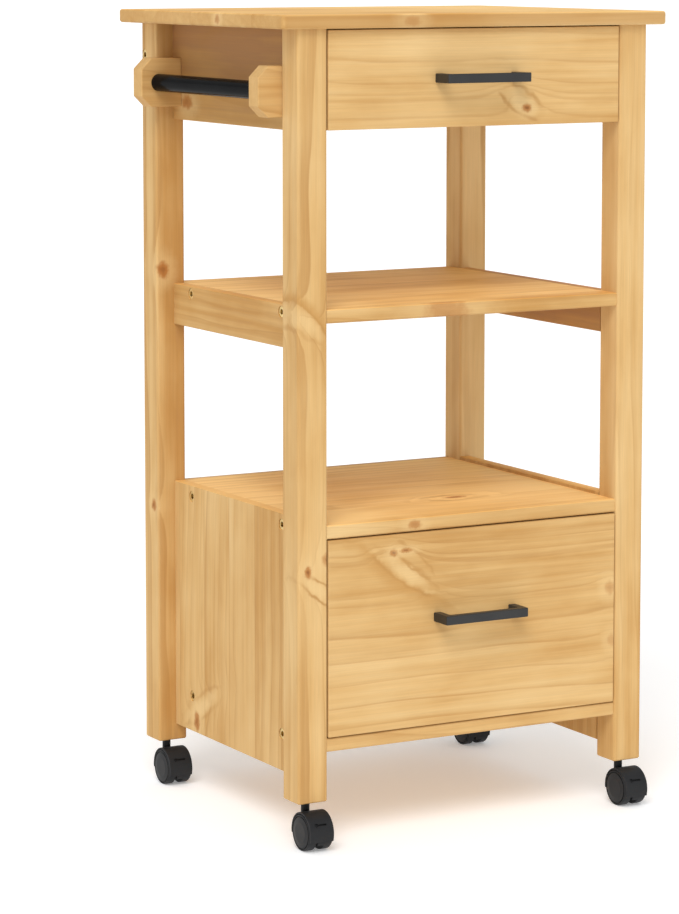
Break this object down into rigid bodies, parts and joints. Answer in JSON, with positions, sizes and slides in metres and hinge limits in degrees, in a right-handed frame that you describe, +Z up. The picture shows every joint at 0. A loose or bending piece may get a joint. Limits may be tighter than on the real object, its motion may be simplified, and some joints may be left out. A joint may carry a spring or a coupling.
{
  "type": "kitchen island cart",
  "caption": "Pine kitchen island cart on swivel castors with a worktop, open shelves, a shallow upper drawer, a deep lower drawer and a towel rail on the left side.",
  "frame": {"origin": "on the floor, midway between the posts across the width, and midway between the handle fronts and the back edge of the worktop", "axes": "+Z up, -Y towards the drawer fronts, +X to the right seen from the front; the towel rail is on the -X side"},
  "size_m": [0.4925, 0.42, 0.9],
  "materials": {
    "pine": "satin lacquered pine",
    "beech": "plain beech",
    "plywood": "plain plywood",
    "black_metal": "satin black",
    "black_nylon": "moulded black",
    "zinc_steel": "zinc plated"
  },
  "bodies": {
    "frame": {"worktop": "pine", "post_front_left": "pine", "post_front_right": "pine", "post_back_left": "pine", "post_back_right": "pine", "upper_side_left": "pine", "upper_side_right": "pine", "upper_back": "pine", "middle_shelf": "pine", "middle_rail_left": "pine", "middle_rail_right": "pine", "lower_shelf": "pine", "cabinet_side_left": "pine", "cabinet_side_right": "pine", "cabinet_bottom": "pine", "cabinet_back": "plywood", "upper_runner_left": "beech", "upper_runner_right": "beech", "lower_runner_left": "beech", "lower_runner_right": "beech", "towel_bracket_front": "pine", "towel_bracket_back": "pine", "towel_bar": "black_metal", "frame_dowels": "beech", "frame_screws": "zinc_steel", "wood_screws": "zinc_steel", "top_angle_brackets": "zinc_steel", "castor_sockets": "zinc_steel"},
    "upper_drawer": {"upper_drawer_front": "pine", "upper_drawer_side_left": "pine", "upper_drawer_side_right": "pine", "upper_drawer_back": "pine", "upper_drawer_bottom": "plywood", "upper_drawer_handle": "black_metal", "upper_handle_screws": "zinc_steel", "upper_drawer_dowels": "beech"},
    "lower_drawer": {"lower_drawer_front": "pine", "lower_drawer_side_left": "pine", "lower_drawer_side_right": "pine", "lower_drawer_back": "pine", "lower_drawer_bottom": "plywood", "lower_drawer_handle": "black_metal", "lower_handle_screws": "zinc_steel", "lower_drawer_dowels": "beech"},
    "castor_front_left": {"castor_front_left_hood": "black_nylon", "castor_front_left_pins": "zinc_steel"},
    "castor_front_right": {"castor_front_right_hood": "black_nylon", "castor_front_right_pins": "zinc_steel"},
    "castor_back_left": {"castor_back_left_hood": "black_nylon", "castor_back_left_pins": "zinc_steel"},
    "castor_back_right": {"castor_back_right_hood": "black_nylon", "castor_back_right_pins": "zinc_steel"},
    "castor_front_left_wheel_left": {"castor_front_left_wheel_left": "black_nylon"},
    "castor_front_left_wheel_right": {"castor_front_left_wheel_right": "black_nylon"},
    "castor_front_right_wheel_left": {"castor_front_right_wheel_left": "black_nylon"},
    "castor_front_right_wheel_right": {"castor_front_right_wheel_right": "black_nylon"},
    "castor_back_left_wheel_left": {"castor_back_left_wheel_left": "black_nylon"},
    "castor_back_left_wheel_right": {"castor_back_left_wheel_right": "black_nylon"},
    "castor_back_right_wheel_left": {"castor_back_right_wheel_left": "black_nylon"},
    "castor_back_right_wheel_right": {"castor_back_right_wheel_right": "black_nylon"}
  },
  "joints": [
    {"name": "drawer_upper_slide", "type": "slide", "parent": "frame", "child": "upper_drawer", "axis": [0, -1, 0], "range_m": [0, 0.25]},
    {"name": "drawer_lower_slide", "type": "slide", "parent": "frame", "child": "lower_drawer", "axis": [0, -1, 0], "range_m": [0, 0.25]},
    {"name": "swivel_front_left", "type": "hinge", "parent": "frame", "child": "castor_front_left", "pos_m": [-0.2035, -0.164, 0.051], "axis": [0, 0, 1], "continuous": true},
    {"name": "swivel_front_right", "type": "hinge", "parent": "frame", "child": "castor_front_right", "pos_m": [0.2035, -0.164, 0.051], "axis": [0, 0, 1], "continuous": true},
    {"name": "swivel_back_left", "type": "hinge", "parent": "frame", "child": "castor_back_left", "pos_m": [-0.2035, 0.176, 0.051], "axis": [0, 0, 1], "continuous": true},
    {"name": "swivel_back_right", "type": "hinge", "parent": "frame", "child": "castor_back_right", "pos_m": [0.2035, 0.176, 0.051], "axis": [0, 0, 1], "continuous": true},
    {"name": "wheel_front_left_left", "type": "hinge", "parent": "castor_front_left", "child": "castor_front_left_wheel_left", "pos_m": [-0.21365, -0.181, 0.02], "axis": [1, 0, 0], "continuous": true},
    {"name": "wheel_front_left_right", "type": "hinge", "parent": "castor_front_left", "child": "castor_front_left_wheel_right", "pos_m": [-0.19335, -0.181, 0.02], "axis": [1, 0, 0], "continuous": true},
    {"name": "wheel_front_right_left", "type": "hinge", "parent": "castor_front_right", "child": "castor_front_right_wheel_left", "pos_m": [0.19335, -0.181, 0.02], "axis": [1, 0, 0], "continuous": true},
    {"name": "wheel_front_right_right", "type": "hinge", "parent": "castor_front_right", "child": "castor_front_right_wheel_right", "pos_m": [0.21365, -0.181, 0.02], "axis": [1, 0, 0], "continuous": true},
    {"name": "wheel_back_left_left", "type": "hinge", "parent": "castor_back_left", "child": "castor_back_left_wheel_left", "pos_m": [-0.21365, 0.159, 0.02], "axis": [1, 0, 0], "continuous": true},
    {"name": "wheel_back_left_right", "type": "hinge", "parent": "castor_back_left", "child": "castor_back_left_wheel_right", "pos_m": [-0.19335, 0.159, 0.02], "axis": [1, 0, 0], "continuous": true},
    {"name": "wheel_back_right_left", "type": "hinge", "parent": "castor_back_right", "child": "castor_back_right_wheel_left", "pos_m": [0.19335, 0.159, 0.02], "axis": [1, 0, 0], "continuous": true},
    {"name": "wheel_back_right_right", "type": "hinge", "parent": "castor_back_right", "child": "castor_back_right_wheel_right", "pos_m": [0.21365, 0.159, 0.02], "axis": [1, 0, 0], "continuous": true}
  ]
}
